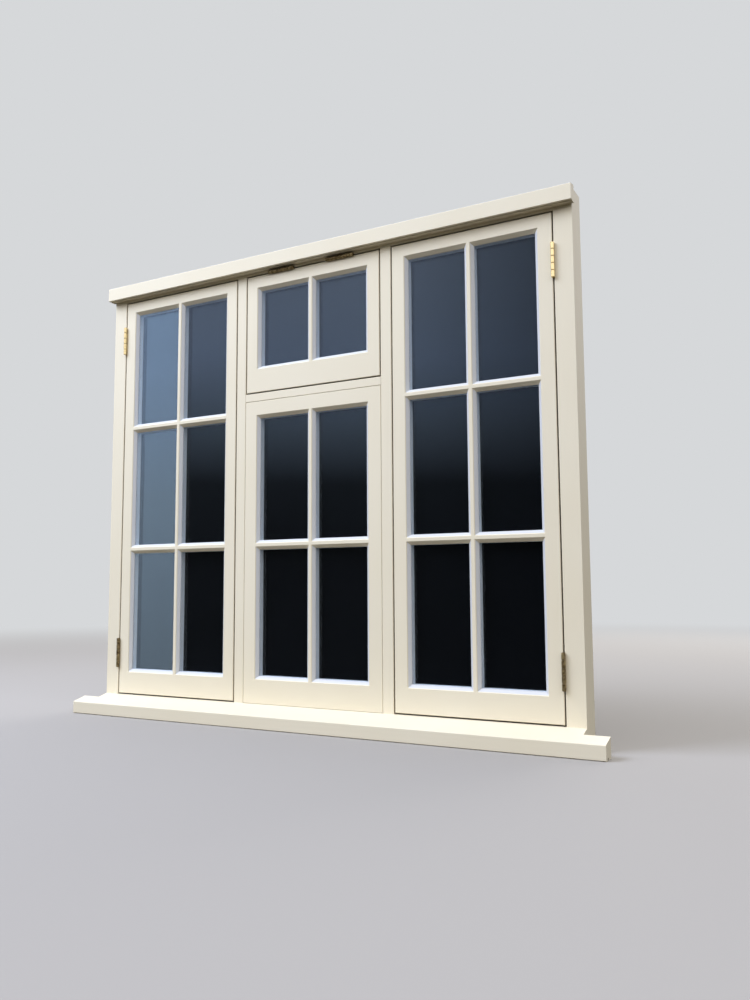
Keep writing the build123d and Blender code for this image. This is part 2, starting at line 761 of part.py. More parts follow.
def main():
    nodes = make_frame()

    frame_leaves = place_hinges(make_leaf(0))
    sash_leaves = place_hinges(mirrored(make_leaf(1)))
    pins = place_hinges(make_hinge_pin())
    leaf_blank = block(
        (LEAF_GAP / 2, LEAF_GAP / 2 + LEAF_THICKNESS),
        (HINGE_STANDOFF, HINGE_STANDOFF + LEAF_WIDTH),
        (-HINGE_LENGTH / 2, HINGE_LENGTH / 2),
    )
    frame_recesses = place_hinges(leaf_blank)
    sash_recesses = place_hinges(mirrored(leaf_blank))
    hung_from = {"right_casement": "right_jamb", "left_casement": "left_jamb", "vent": "head"}
    for light, timber in hung_from.items():
        for recess in frame_recesses[light]:
            nodes[timber] -= recess
    nodes["hinge_frame_leaves"] = group(*[leaf for leaves in frame_leaves.values() for leaf in leaves])
    nodes["hinge_pins"] = group(*[pin for pair in pins.values() for pin in pair])
    for light, leaves in sash_leaves.items():
        nodes[f"{light}_hinge_leaves"] = group(*leaves)

    closing_side, closing_below = closing_wedges()
    casement_nodes = make_sash_nodes(casement, [closing_side] + sash_recesses["right_casement"])
    vent_nodes = make_sash_nodes(vent, [closing_below] + sash_recesses["vent"])
    fixed_nodes = make_sash_nodes(fixed, [])
    opposite = {"left_stile": "right_stile", "right_stile": "left_stile"}
    for name, shape in casement_nodes.items():
        nodes[f"right_casement_{name}"] = shape
        nodes[f"left_casement_{opposite.get(name, name)}"] = mirrored(shape)
    for name, shape in vent_nodes.items():
        nodes[f"vent_{name}"] = shape
    for name, shape in fixed_nodes.items():
        nodes[f"fixed_sash_{name}"] = shape

    plate, handle, striker = make_fastener()
    nodes["right_fastener_plate"] = plate
    nodes["left_fastener_plate"] = mirrored(plate)
    nodes["right_fastener_handle"] = handle
    nodes["left_fastener_handle"] = mirrored(handle)
    nodes["fastener_strikers"] = group(mirrored(striker), striker)

    side_place = Pos(casement.outer[0][1] - STAY_PIVOT_INSET, 0, opening_bottom + STOP_WIDTH)
    vent_place = Pos(vent.middle, 0, transom_top + STOP_WIDTH)
    bracket, arm, pegs = make_stay(STAY_LENGTH)
    vent_bracket, vent_arm, vent_pegs = make_stay(VENT_STAY_LENGTH)
    nodes["right_stay_bracket"] = side_place * bracket
    nodes["left_stay_bracket"] = mirrored(side_place * bracket)
    nodes["vent_stay_bracket"] = vent_place * vent_bracket
    nodes["right_stay_arm"] = side_place * arm
    nodes["left_stay_arm"] = mirrored(side_place * arm)
    nodes["vent_stay_arm"] = vent_place * vent_arm
    side_pegs = [side_place * peg for peg in pegs]
    nodes["stay_pegs"] = group(
        *side_pegs, *[mirrored(peg) for peg in side_pegs], *[vent_place * peg for peg in vent_pegs]
    )

    os.makedirs("parts", exist_ok=True)
    for name, shape in nodes.items():
        export_step(shape, f"parts/{name}.step")


main()
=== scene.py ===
import math

import bmesh
import bpy
from mathutils import Matrix, Vector


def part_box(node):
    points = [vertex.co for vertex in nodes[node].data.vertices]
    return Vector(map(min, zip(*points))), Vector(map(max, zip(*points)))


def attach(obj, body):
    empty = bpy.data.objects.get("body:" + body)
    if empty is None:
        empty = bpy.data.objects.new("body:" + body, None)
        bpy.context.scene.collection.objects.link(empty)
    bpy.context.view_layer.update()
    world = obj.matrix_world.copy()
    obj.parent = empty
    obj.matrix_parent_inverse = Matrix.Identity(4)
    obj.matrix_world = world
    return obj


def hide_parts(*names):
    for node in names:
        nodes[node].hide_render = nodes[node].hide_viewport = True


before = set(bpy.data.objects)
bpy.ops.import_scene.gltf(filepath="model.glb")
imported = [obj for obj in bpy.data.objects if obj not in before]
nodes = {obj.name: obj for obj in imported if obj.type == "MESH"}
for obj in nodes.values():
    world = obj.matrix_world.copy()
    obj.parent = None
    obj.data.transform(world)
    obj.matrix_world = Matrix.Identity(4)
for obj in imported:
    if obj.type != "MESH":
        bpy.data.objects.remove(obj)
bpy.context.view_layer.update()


# Frame timbers: planed hardwood, primed and given two brushed coats of cream satin paint.
# Jambs and mullions are tenoned into sill and head, and the transom into the mullions. Strokes
# run along each member, so uprights need the paint of level timbers with its strokes turned.

UPRIGHT_FRAME = ("left_jamb", "right_jamb", "left_mullion", "right_mullion")
LEVEL_FRAME = ("sill", "head", "transom", "drip_board")
X_AXIS = 0
Z_AXIS = 2

# Colours: full cream, and the yellower one where the coat is thin, in patches of a hand's width.
CREAM = "f2e8cd"
CREAM_THIN = "ede1c2"
PATCH_SIZE = 0.22
PATCH_DETAIL = 2.0

# Brush strokes, drawn coarser than real ones so that they show, and grain that shows through.
STROKE_WIDTH = 0.006
STROKE_LENGTH = 0.16
STROKE_DETAIL = 2.0
STROKE_RELIEF = 0.35
STROKE_DEPTH = 0.0003
GRAIN_WIDTH = 0.0016
GRAIN_LENGTH = 0.05
GRAIN_DETAIL = 3.0
GRAIN_RELIEF = 0.25
GRAIN_DEPTH = 0.0001
SATIN_ROUGHNESS = (0.34, 0.46)

# Painted shade in the gaps: the cream is darkened to brown where less than this share of the sky is
# open within 12 mm.
JOINT_PAINTED_SHADE = "64492a"
JOINT_REACH = 0.012
JOINT_OPEN = 0.45
JOINT_SAMPLES = 6

# Painted sky light: bevels beside the glass are drawn whiter where they look outwards or up, behind
# the eased arris, and not where they face down.
# Each pair is where the white starts and where it is full, of the facing's Y or Z, or of depth.
BEVEL_PAINTED_SKYLIGHT = "dbdbd8"
BEVEL_OFF_FLAT = (-0.97, -0.94)
BEVEL_OFF_EDGE = (-0.25, -0.28)
BEVEL_NOT_UNDER = (-0.45, -0.3)
BEVEL_PAST_ARRIS = (0.0012, 0.002)

# The Mix node's colour sockets, by number because its other kinds share their names.
MIX_AMOUNT = 0
MIX_FIRST = 6
MIX_SECOND = 7
MIX_RESULT = 2


def linear(hex_code):
    """An sRGB hex colour as the linear RGBA that Blender's sockets take."""
    channels = [int(hex_code[at:at + 2], 16) / 255 for at in (0, 2, 4)]
    curved = [c / 12.92 if c <= 0.04045 else ((c + 0.055) / 1.055) ** 2.4 for c in channels]
    return (*curved, 1.0)


def add(tree, kind, inputs=None, **settings):
    """Adds one node with its settings; each input takes a value or another node's output."""
    node = tree.nodes.new(kind)
    for name, value in settings.items():
        setattr(node, name, value)
    for socket, source in (inputs or {}).items():
        if isinstance(source, bpy.types.NodeSocket):
            tree.links.new(source, node.inputs[socket])
        else:
            node.inputs[socket].default_value = source
    return node


def new_material(name):
    """An empty Principled material, with its tree and its shader."""
    material = bpy.data.materials.new(name)
    material.use_nodes = True
    shader = next(n for n in material.node_tree.nodes if n.type == "BSDF_PRINCIPLED")
    return material, material.node_tree, shader


def random_pattern(tree, place, sizes, detail):
    """A random pattern from 0 to 1, its features of these sizes in metres on X, Y and Z."""
    scale = tuple(1 / size for size in sizes)
    stretched = add(tree, "ShaderNodeMapping", {"Vector": place, "Scale": scale})
    inputs = {"Vector": stretched.outputs[0], "Scale": 1.0, "Detail": detail}
    return add(tree, "ShaderNodeTexNoise", inputs).outputs[0]


def satin_paint(name, axis, bevelled=False):
    """Brushed cream satin paint with its strokes along one axis, or short ones along none.

    It gives the eye a warm, even cream with a soft sheen that breaks up along the strokes, brown
    painted shade in the gaps and, on the sashes, a whiter edge beside the glass that is painted sky
    light.
    """
    material, tree, shader = new_material(name)
    coordinates = add(tree, "ShaderNodeTexCoord").outputs
    place = coordinates["Object"]
    stroke = [STROKE_WIDTH] * 3
    grain = [GRAIN_WIDTH] * 3
    if axis is not None:
        stroke[axis] = STROKE_LENGTH
        grain[axis] = GRAIN_LENGTH
    strokes = random_pattern(tree, place, stroke, STROKE_DETAIL)
    fibres = random_pattern(tree, place, grain, GRAIN_DETAIL)
    patches = random_pattern(tree, place, [PATCH_SIZE] * 3, PATCH_DETAIL)
    shade = add(tree, "ShaderNodeMix", {
        MIX_AMOUNT: patches,
        MIX_FIRST: linear(CREAM_THIN),
        MIX_SECOND: linear(CREAM),
    }, data_type="RGBA")
    # Painted sky light: bevels that face out or up, but not down, are mixed towards a whiter colour.
    if bevelled:
        facing = add(tree, "ShaderNodeSeparateXYZ", {0: coordinates["Normal"]}).outputs
        depth = add(tree, "ShaderNodeSeparateXYZ", {0: place}).outputs["Y"]
        sky_lit_bevel = 1.0
        for value, limits in (
            (facing["Y"], BEVEL_OFF_FLAT),
            (facing["Y"], BEVEL_OFF_EDGE),
            (facing["Z"], BEVEL_NOT_UNDER),
            (depth, BEVEL_PAST_ARRIS),
        ):
            inside = add(tree, "ShaderNodeMapRange", {
                "Value": value,
                "From Min": limits[0],
                "From Max": limits[1],
            }).outputs[0]
            product = {0: sky_lit_bevel, 1: inside}
            sky_lit_bevel = add(tree, "ShaderNodeMath", product, operation="MULTIPLY").outputs[0]
        shade = add(tree, "ShaderNodeMix", {
            MIX_AMOUNT: sky_lit_bevel,
            MIX_FIRST: shade.outputs[MIX_RESULT],
            MIX_SECOND: linear(BEVEL_PAINTED_SKYLIGHT),
        }, data_type="RGBA")
    # Painted shade: ambient occlusion darkens the cream to brown in narrow gaps and joints.
    reach = add(tree, "ShaderNodeAmbientOcclusion", {"Distance": JOINT_REACH}, samples=JOINT_SAMPLES)
    open_share = add(tree, "ShaderNodeMapRange", {
        "Value": reach.outputs["AO"],
        "From Max": JOINT_OPEN,
    })
    shaded_in_gaps = add(tree, "ShaderNodeMix", {
        MIX_AMOUNT: open_share.outputs[0],
        MIX_FIRST: linear(JOINT_PAINTED_SHADE),
        MIX_SECOND: shade.outputs[MIX_RESULT],
    }, data_type="RGBA")
    gloss = add(tree, "ShaderNodeMapRange", {
        "Value": strokes,
        "To Min": SATIN_ROUGHNESS[0],
        "To Max": SATIN_ROUGHNESS[1],
    })
    ridges = add(tree, "ShaderNodeBump", {
        "Height": strokes,
        "Strength": STROKE_RELIEF,
        "Distance": STROKE_DEPTH,
    })
    pores = add(tree, "ShaderNodeBump", {
        "Height": fibres,
        "Strength": GRAIN_RELIEF,
        "Distance": GRAIN_DEPTH,
        "Normal": ridges.outputs[0],
    })
    tree.links.new(shaded_in_gaps.outputs[MIX_RESULT], shader.inputs["Base Color"])
    tree.links.new(gloss.outputs[0], shader.inputs["Roughness"])
    tree.links.new(pores.outputs[0], shader.inputs["Normal"])
    return material


def finish(names, material):
    """Gives CAD nodes their material."""
    for name in names:
        node = nodes[name]
        node.data.materials.clear()
        node.data.materials.append(material)


paint_level = satin_paint("satin_cream_paint_level", X_AXIS)
paint_upright = satin_paint("satin_cream_paint_upright", Z_AXIS)
finish(LEVEL_FRAME, paint_level)
finish(UPRIGHT_FRAME, paint_upright)


# Weather seals: black extruded rubber pushed into a groove round each opening light's rebate.
# It is matt and a little dusty, and gives the eye a soft dark line where a light stands open.

SEAL_BLACK = "15161a"
SEAL_DUSTY = "26272b"
SEAL_DUST_SIZE = 0.004
SEAL_DUST_DETAIL = 3.0
SEAL_ROUGHNESS = 0.72

seal_rubber, seal_tree, seal_shader = new_material("black_seal_rubber")
seal_place = add(seal_tree, "ShaderNodeTexCoord").outputs["Object"]
seal_dust = random_pattern(seal_tree, seal_place, [SEAL_DUST_SIZE] * 3, SEAL_DUST_DETAIL)
seal_shade = add(seal_tree, "ShaderNodeMix", {
    MIX_AMOUNT: seal_dust,
    MIX_FIRST: linear(SEAL_BLACK),
    MIX_SECOND: linear(SEAL_DUSTY),
}, data_type="RGBA")
seal_tree.links.new(seal_shade.outputs[MIX_RESULT], seal_shader.inputs["Base Color"])
seal_shader.inputs["Roughness"].default_value = SEAL_ROUGHNESS
finish(["weather_seals"], seal_rubber)


# Sashes: painted hardwood again, the rails tenoned into the stiles, with a bevel mitred round
# the glass and beads fixed from the room side. Bars run both ways in one node, so their paint
# has short strokes with no direction.

SASHES = {
    "left_casement": "left_casement",
    "right_casement": "right_casement",
    "vent": "vent",
    "fixed_sash": "frame",
}
paint_stiles = satin_paint("satin_cream_paint_stiles", Z_AXIS, bevelled=True)
paint_rails = satin_paint("satin_cream_paint_rails", X_AXIS, bevelled=True)
paint_bars = satin_paint("satin_cream_paint_bars", None, bevelled=True)
for sash in SASHES:
    finish([f"{sash}_left_stile", f"{sash}_right_stile"], paint_stiles)
    finish([f"{sash}_bottom_rail", f"{sash}_top_rail"], paint_rails)
    finish([f"{sash}_bars", f"{sash}_beads"], paint_bars)


# Double glazing: two panes of 4 mm float glass, 12 mm apart, set in the rebate of each sash.
# The outer pane is clear, and the inner one is drawn opaque and nearly black, painted shade that
# stands for an unlit room behind it.

PANE = 0.004
CLEAR_TINT = "f2f8f6"
CLEAR_IOR = 1.45
UNLIT_DARKEST = "08090b"
UNLIT_LIGHTEST = "0d0e11"
POLISHED = 0.0
WAVE_SIZE = 0.12
WAVE_DETAIL = 1.0
WAVE_RELIEF = 0.2
WAVE_DEPTH = 0.0005

# Clear float glass mirrors sharply and shows the spacer behind it. Lamps and bounced light pass
# it without the shader, so that the gap between the panes is lit.
clear_glass, clear_tree, clear_shader = new_material("clear_float_glass")
clear_shader.inputs["Base Color"].default_value = linear(CLEAR_TINT)
clear_shader.inputs["Roughness"].default_value = POLISHED
clear_shader.inputs["IOR"].default_value = CLEAR_IOR
clear_shader.inputs["Transmission Weight"].default_value = 1.0
clear_path = add(clear_tree, "ShaderNodeLightPath")
clear_lamps = add(clear_tree, "ShaderNodeMath", {
    0: clear_path.outputs["Is Shadow Ray"],
    1: clear_path.outputs["Is Diffuse Ray"],
}, operation="MAXIMUM")
clear_through = add(clear_tree, "ShaderNodeBsdfTransparent")
clear_mix = add(clear_tree, "ShaderNodeMixShader", {
    0: clear_lamps.outputs[0],
    1: clear_shader.outputs[0],
    2: clear_through.outputs[0],
})
clear_output = next(n for n in clear_tree.nodes if n.type == "OUTPUT_MATERIAL")
clear_tree.links.new(clear_mix.outputs[0], clear_output.inputs["Surface"])

# The dark pane is painted shade: an opaque, nearly black mirror in place of clear glass with a dark
# room behind, with the faint wave of float.
painted_dark_pane, dark_tree, dark_shader = new_material("float_glass_painted_unlit")
dark_place = add(dark_tree, "ShaderNodeTexCoord").outputs["Object"]
dark_wave = random_pattern(dark_tree, dark_place, [WAVE_SIZE] * 3, WAVE_DETAIL)
dark_shade = add(dark_tree, "ShaderNodeMix", {
    MIX_AMOUNT: dark_wave,
    MIX_FIRST: linear(UNLIT_DARKEST),
    MIX_SECOND: linear(UNLIT_LIGHTEST),
}, data_type="RGBA")
dark_bump = add(dark_tree, "ShaderNodeBump", {
    "Height": dark_wave,
    "Strength": WAVE_RELIEF,
    "Distance": WAVE_DEPTH,
})
dark_tree.links.new(dark_shade.outputs[MIX_RESULT], dark_shader.inputs["Base Color"])
dark_tree.links.new(dark_bump.outputs[0], dark_shader.inputs["Normal"])
dark_shader.inputs["Roughness"].default_value = POLISHED


def new_mesh(name, corners, faces):
    """A plain mesh from its corners and faces."""
    mesh = bpy.data.meshes.new(name)
    mesh.from_pydata(corners, [], faces)
    return mesh


def slabs(boxes):
    """One mesh of slabs, each between its lowest and its highest corner."""
    corners = []
    faces = []
    sides = [(0, 1, 3, 2), (4, 6, 7, 5), (0, 4, 5, 1), (2, 3, 7, 6), (0, 2, 6, 4), (1, 5, 7, 3)]
    for low, high in boxes:
        first = len(corners)
        faces += [[first + at for at in side] for side in sides]
        corners += [
            (x, y, z)
            for x in (low[0], high[0])
            for y in (low[1], high[1])
            for z in (low[2], high[2])
        ]
    return new_mesh("slabs", corners, faces)


def new_piece(name, mesh, material):
    """An object with this mesh and one material; its place is in its mesh."""
    mesh.name = name
    mesh.materials.clear()
    mesh.materials.append(material)
    piece = bpy.data.objects.new(name, mesh)
    bpy.context.scene.collection.objects.link(piece)
    return piece


for sash, body in SASHES.items():
    low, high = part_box(f"{sash}_glass")
    outer_box = (low, (high.x, low.y + PANE, high.z))
    inner_box = ((low.x, high.y - PANE, low.z), high)
    outer_pane = new_piece(f"{sash}_outer_pane", slabs([outer_box]), clear_glass)
    inner_pane = new_piece(f"{sash}_inner_pane", slabs([inner_box]), painted_dark_pane)
    for pane in (outer_pane, inner_pane):
        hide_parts(f"{sash}_glass")
        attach(pane, body)


# Spacers: folded aluminium strip, mill finish, sealed between the two panes of each unit.
# Its dull skin hides most of the metal's shine, and gives the eye a pale bluish line.

SPACER_DULL = "e2ebf8"
SPACER_BRIGHT = "f4f8ff"
SPACER_MARK_SIZE = 0.003
SPACER_MARK_DETAIL = 2.0
SPACER_METALLIC = 0.1
SPACER_ROUGHNESS = 0.5

spacer_metal, spacer_tree, spacer_shader = new_material("mill_aluminium_spacer")
spacer_place = add(spacer_tree, "ShaderNodeTexCoord").outputs["Object"]
spacer_sizes = [SPACER_MARK_SIZE] * 3
spacer_marks = random_pattern(spacer_tree, spacer_place, spacer_sizes, SPACER_MARK_DETAIL)
spacer_shade = add(spacer_tree, "ShaderNodeMix", {
    MIX_AMOUNT: spacer_marks,
    MIX_FIRST: linear(SPACER_DULL),
    MIX_SECOND: linear(SPACER_BRIGHT),
}, data_type="RGBA")
spacer_tree.links.new(spacer_shade.outputs[MIX_RESULT], spacer_shader.inputs["Base Color"])
spacer_shader.inputs["Metallic"].default_value = SPACER_METALLIC
spacer_shader.inputs["Roughness"].default_value = SPACER_ROUGHNESS
finish([f"{sash}_spacer" for sash in SASHES], spacer_metal)


# Ironmongery: solid drawn brass, cut and filed to cockspur fasteners and peg stays, and the pins
# of the hinges. Indoors it is polished. Outdoors it has paled, and it has tarnished brown where
# splashes reach it above the sill. Under the drip board the same brown blotches are painted shade.

INSIDE_BRASS = (
    "fastener_strikers", "left_fastener_plate", "left_fastener_handle",
    "right_fastener_plate", "right_fastener_handle", "stay_pegs",
    "left_stay_bracket", "left_stay_arm", "right_stay_bracket", "right_stay_arm",
    "vent_stay_bracket", "vent_stay_arm",
)
OUTDOOR_BRASS = "eed9a4"
OUTDOOR_METALLIC = 0.9
INDOOR_BRASS = "f0d284"
INDOOR_METALLIC = 1.0
BRASS_ROUGHNESS = 0.24
TARNISH_AND_SHADE = "4d3b20"
TARNISH_ROUGHNESS = 0.5

# Heights in metres: tarnish starts at the splash height and is full one fade lower, and under
# the drip board painted shade grows from nothing at the first height to full at the second.
SPLASH_TOP = 0.6
SPLASH_FADE = 0.25
DRIP_SHADE_HEIGHTS = (1.03, 1.08)
BLOTCH_SIZE = 0.006
BLOTCH_DETAIL = 3.0
BLOTCH_EDGES = (0.35, 0.65)
BLOTCH_LEAST = 0.5


def drawn_brass(name, colour, shine, splash_top, drip_shade):
    """Drawn brass of a colour and a metallic shine, tarnished in blotches by splashes, with painted
    shade in the same blotches under the drip board.

    It gives the eye a warm gold that mirrors softly, and dull brown patches without a mirror:
    tarnish low down and painted shade high up.
    """
    material, tree, shader = new_material(name)
    place = add(tree, "ShaderNodeTexCoord").outputs["Object"]
    height = add(tree, "ShaderNodeSeparateXYZ", {0: place}).outputs["Z"]
    mottle = random_pattern(tree, place, [BLOTCH_SIZE] * 3, BLOTCH_DETAIL)
    blotches = add(tree, "ShaderNodeMapRange", {
        "Value": mottle,
        "From Min": BLOTCH_EDGES[0],
        "From Max": BLOTCH_EDGES[1],
        "To Min": BLOTCH_LEAST,
    })
    splashed = add(tree, "ShaderNodeMapRange", {
        "Value": height,
        "From Min": splash_top,
        "From Max": splash_top - SPLASH_FADE,
    })
    # Painted shade: under the drip board the brass is darkened to brown by height.
    under_drip = add(tree, "ShaderNodeMapRange", {
        "Value": height,
        "From Min": DRIP_SHADE_HEIGHTS[0],
        "From Max": DRIP_SHADE_HEIGHTS[1],
        "To Max": drip_shade,
    })
    tarnish_and_shade = add(tree, "ShaderNodeMath", {
        0: splashed.outputs[0],
        1: under_drip.outputs[0],
    }, operation="MAXIMUM")
    amount = add(tree, "ShaderNodeMath", {
        0: tarnish_and_shade.outputs[0],
        1: blotches.outputs[0],
    }, operation="MULTIPLY")
    shade = add(tree, "ShaderNodeMix", {
        MIX_AMOUNT: amount.outputs[0],
        MIX_FIRST: linear(colour),
        MIX_SECOND: linear(TARNISH_AND_SHADE),
    }, data_type="RGBA")
    gloss = add(tree, "ShaderNodeMapRange", {
        "Value": amount.outputs[0],
        "To Min": BRASS_ROUGHNESS,
        "To Max": TARNISH_ROUGHNESS,
    })
    tree.links.new(shade.outputs[MIX_RESULT], shader.inputs["Base Color"])
    tree.links.new(gloss.outputs[0], shader.inputs["Roughness"])
    shader.inputs["Metallic"].default_value = shine
    return material


weathered_brass = drawn_brass(
    "drawn_brass_weathered", OUTDOOR_BRASS, OUTDOOR_METALLIC, SPLASH_TOP, 1.0
)
indoor_brass = drawn_brass("drawn_brass_indoors", INDOOR_BRASS, INDOOR_METALLIC, 0.0, 0.0)
finish(["hinge_pins"], weathered_brass)
finish(INSIDE_BRASS, indoor_brass)


# Hinges: brass butts 75 mm long with five turned knuckles on a pin, their leaves let flush into
# the edges of sash and frame and held by three slotted screws each.
# One tree of copies sets the turned knuckles and the screw heads on points.

HINGE_LENGTH = 0.075
HINGE_AXIS_Y = -0.0045

# A leaf lies between two distances from the middle of its gap. Only the tongues of its knuckles
# reach in front of the notch. Screws have a place along the hinge and a depth behind its axis.
LEAF_FACES = (0.0005, 0.0025)
LEAF_DEPTH = 0.0225
LEAF_NOTCH = 0.0044
LEAF_SCREWS = ((-0.027, 0.0115), (0.0, 0.0165), (0.027, 0.0115))

# Knuckles are counted from 0. The frame's leaves hold 0, 2 and 4, and the sash's hold 1 and 3.
FRAME_KNUCKLE = 0
SASH_KNUCKLE = 1
KNUCKLE_COUNT = 5
KNUCKLE_PITCH = HINGE_LENGTH / KNUCKLE_COUNT
KNUCKLE_GAP = 0.0006
KNUCKLE_RADIUS = 0.004
KNUCKLE_BORE = 0.0018
KNUCKLE_EASING = 0.0007
TURNED_STEPS = 48
SHARP_ANGLE = math.radians(30)
NO_TURN = 0.0

# Screws have 5 mm heads. A half turn at random covers every way that a slot can lie.
SCREW_RADIUS = 0.0025
SCREW_RIM = 0.00012
SCREW_CROWN = 0.0003
SCREW_CROWN_SHARE = 0.8
SCREW_SLOT = 0.0007
SCREW_SUNK = 0.0008
SCREW_STEPS = 12
SLOT_TURN = math.pi
SLOT_TURN_SEED = 7

# Each opening light's hinges: the way that they run, and the way from their axis to the frame.
LIGHT_HINGES = {
    "left_casement": (Vector((0, 0, 1)), Vector((-1, 0, 0))),
    "right_casement": (Vector((0, 0, 1)), Vector((1, 0, 0))),
    "vent": (Vector((1, 0, 0)), Vector((0, 0, 1))),
}


def smoothed(mesh):
    """Smooth shading, with the turned edges left sharp."""
    mesh.shade_smooth()
    mesh.set_sharp_from_angle(angle=SHARP_ANGLE)
    return mesh


def turned(profile):
    """A closed profile of (radius, height), listed upwards on its outside, turned about Z."""
    corners = []
    faces = []
    count = len(profile)
    for step in range(TURNED_STEPS):
        angle = 2 * math.pi * step / TURNED_STEPS
        following = (step + 1) % TURNED_STEPS
        corners += [(r * math.cos(angle), r * math.sin(angle), z) for r, z in profile]
        for at in range(count):
            upper = (at + 1) % count
            faces.append((
                step * count + at,
                following * count + at,
                following * count + upper,
                step * count + upper,
            ))
    return smoothed(new_mesh("turned", corners, faces))


def knuckle():
    """One knuckle round the pin, its ends eased, centred on the origin."""
    half = (KNUCKLE_PITCH - KNUCKLE_GAP) / 2
    return turned([
        (KNUCKLE_BORE, -half),
        (KNUCKLE_RADIUS - KNUCKLE_EASING, -half),
        (KNUCKLE_RADIUS, -half + KNUCKLE_EASING),
        (KNUCKLE_RADIUS, half - KNUCKLE_EASING),
        (KNUCKLE_RADIUS - KNUCKLE_EASING, half),
        (KNUCKLE_BORE, half),
    ])


def screw_head():
    """A countersunk head seen from +Z: two crowned halves with the slot between them."""
    corners = []
    faces = []
    start = math.asin(SCREW_SLOT / 2 / SCREW_RADIUS)
    sweep = math.pi - 2 * start
    rings = ((1.0, -SCREW_SUNK), (1.0, SCREW_RIM), (SCREW_CROWN_SHARE, SCREW_CROWN))
    count = SCREW_STEPS + 1
    for side in (1, -1):
        first = len(corners)
        for share, height in rings:
            for step in range(count):
                angle = start + sweep * step / SCREW_STEPS
                across = SCREW_RADIUS * share * math.cos(angle)
                out = max(SCREW_RADIUS * share * math.sin(angle), SCREW_SLOT / 2)
                corners.append((side * across, side * out, height))
        for ring in range(len(rings) - 1):
            low = first + ring * count
            for step in range(count):
                following = (step + 1) % count
                faces.append((low + step, low + following, low + count + following,
                              low + count + step))
        top = first + (len(rings) - 1) * count
        faces.append([top + step for step in range(count)])
        faces.append([first + step for step in reversed(range(count))])
    return smoothed(new_mesh("screw_head", corners, faces))


def copies_tree():
    """A copy on every point, its Z along the point's facing and turned at random about it."""
    tree = bpy.data.node_groups.new("copies_on_points", "GeometryNodeTree")
    sockets = (
        ("Points", "NodeSocketGeometry"),
        ("Copy", "NodeSocketObject"),
        ("Turn", "NodeSocketFloat"),
        ("Seed", "NodeSocketInt"),
        ("Material", "NodeSocketMaterial"),
    )
    for name, kind in sockets:
        tree.interface.new_socket(name, in_out="INPUT", socket_type=kind)
    tree.interface.new_socket("Mesh", in_out="OUTPUT", socket_type="NodeSocketGeometry")
    given = add(tree, "NodeGroupInput").outputs
    copy = add(tree, "GeometryNodeObjectInfo", {"Object": given["Copy"]})
    facing = add(tree, "GeometryNodeInputNamedAttribute", {"Name": "facing"},
                 data_type="FLOAT_VECTOR")
    upright = add(tree, "FunctionNodeAlignRotationToVector", {
        "Vector": facing.outputs["Attribute"],
    }, axis="Z")
    angle = add(tree, "FunctionNodeRandomValue", {
        2: NO_TURN,
        3: given["Turn"],
        "Seed": given["Seed"],
    }, data_type="FLOAT")
    euler = add(tree, "ShaderNodeCombineXYZ", {"Z": angle.outputs[1]})
    spin = add(tree, "FunctionNodeEulerToRotation", {0: euler.outputs[0]})
    turn = add(tree, "FunctionNodeRotateRotation", {
        "Rotation": upright.outputs[0],
        "Rotate By": spin.outputs[0],
    }, rotation_space="LOCAL")
    placed = add(tree, "GeometryNodeInstanceOnPoints", {
        "Points": given["Points"],
        "Instance": copy.outputs["Geometry"],
        "Rotation": turn.outputs[0],
    })
    real = add(tree, "GeometryNodeRealizeInstances", {0: placed.outputs[0]})
    painted = add(tree, "GeometryNodeSetMaterial", {
        "Geometry": real.outputs[0],
        "Material": given["Material"],
    })
    add(tree, "NodeGroupOutput", {0: painted.outputs[0]})
    return tree


def copies(template, points, turn, material):
    """The plain mesh of a template's copies on points, each a place and a facing."""
    mesh = new_mesh("points", [place for place, facing in points], [])
    attribute = mesh.attributes.new("facing", "FLOAT_VECTOR", "POINT")
    attribute.data.foreach_set("vector", [value for place, facing in points for value in facing])
    holder = new_piece("points", mesh, material)
    pattern = new_piece("pattern", template.copy(), material)
    modifier = holder.modifiers.new("copies", "NODES")
    modifier.node_group = POINT_COPIES
    values = {"Copy": pattern, "Turn": turn, "Seed": SLOT_TURN_SEED, "Material": material}
    for item in POINT_COPIES.interface.items_tree:
        if item.name in values:
            modifier[item.identifier] = values[item.name]
    bpy.context.view_layer.update()
    evaluated = holder.evaluated_get(bpy.context.evaluated_depsgraph_get())
    result = bpy.data.meshes.new_from_object(evaluated)
    holder.modifiers.remove(modifier)
    bpy.data.objects.remove(holder)
    bpy.data.objects.remove(pattern)
    return result


def joined(meshes):
    """Several meshes made one."""
    whole = bmesh.new()
    for mesh in meshes:
        whole.from_mesh(mesh)
    result = bpy.data.meshes.new("joined")
    whole.to_mesh(result)
    whole.free()
    return result


def hinge_middles(light, along):
    """The middles of a light's two hinges, on their axis."""
    low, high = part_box(f"{light}_hinge_leaves")
    middle = (low + high) / 2
    middle.y = HINGE_AXIS_Y
    reach = ((high - low).dot(along) - HINGE_LENGTH) / 2
    return middle - along * reach, middle + along * reach


def leaf_slab(middle, along, side, span, depth):
    """The corners of a slab of a leaf: its span along the hinge, its depth behind the axis."""
    ends = [
        middle + along * at + side * face + Vector((0, back, 0))
        for at, face, back in zip(span, LEAF_FACES, depth)
    ]
    return [min(pair) for pair in zip(*ends)], [max(pair) for pair in zip(*ends)]


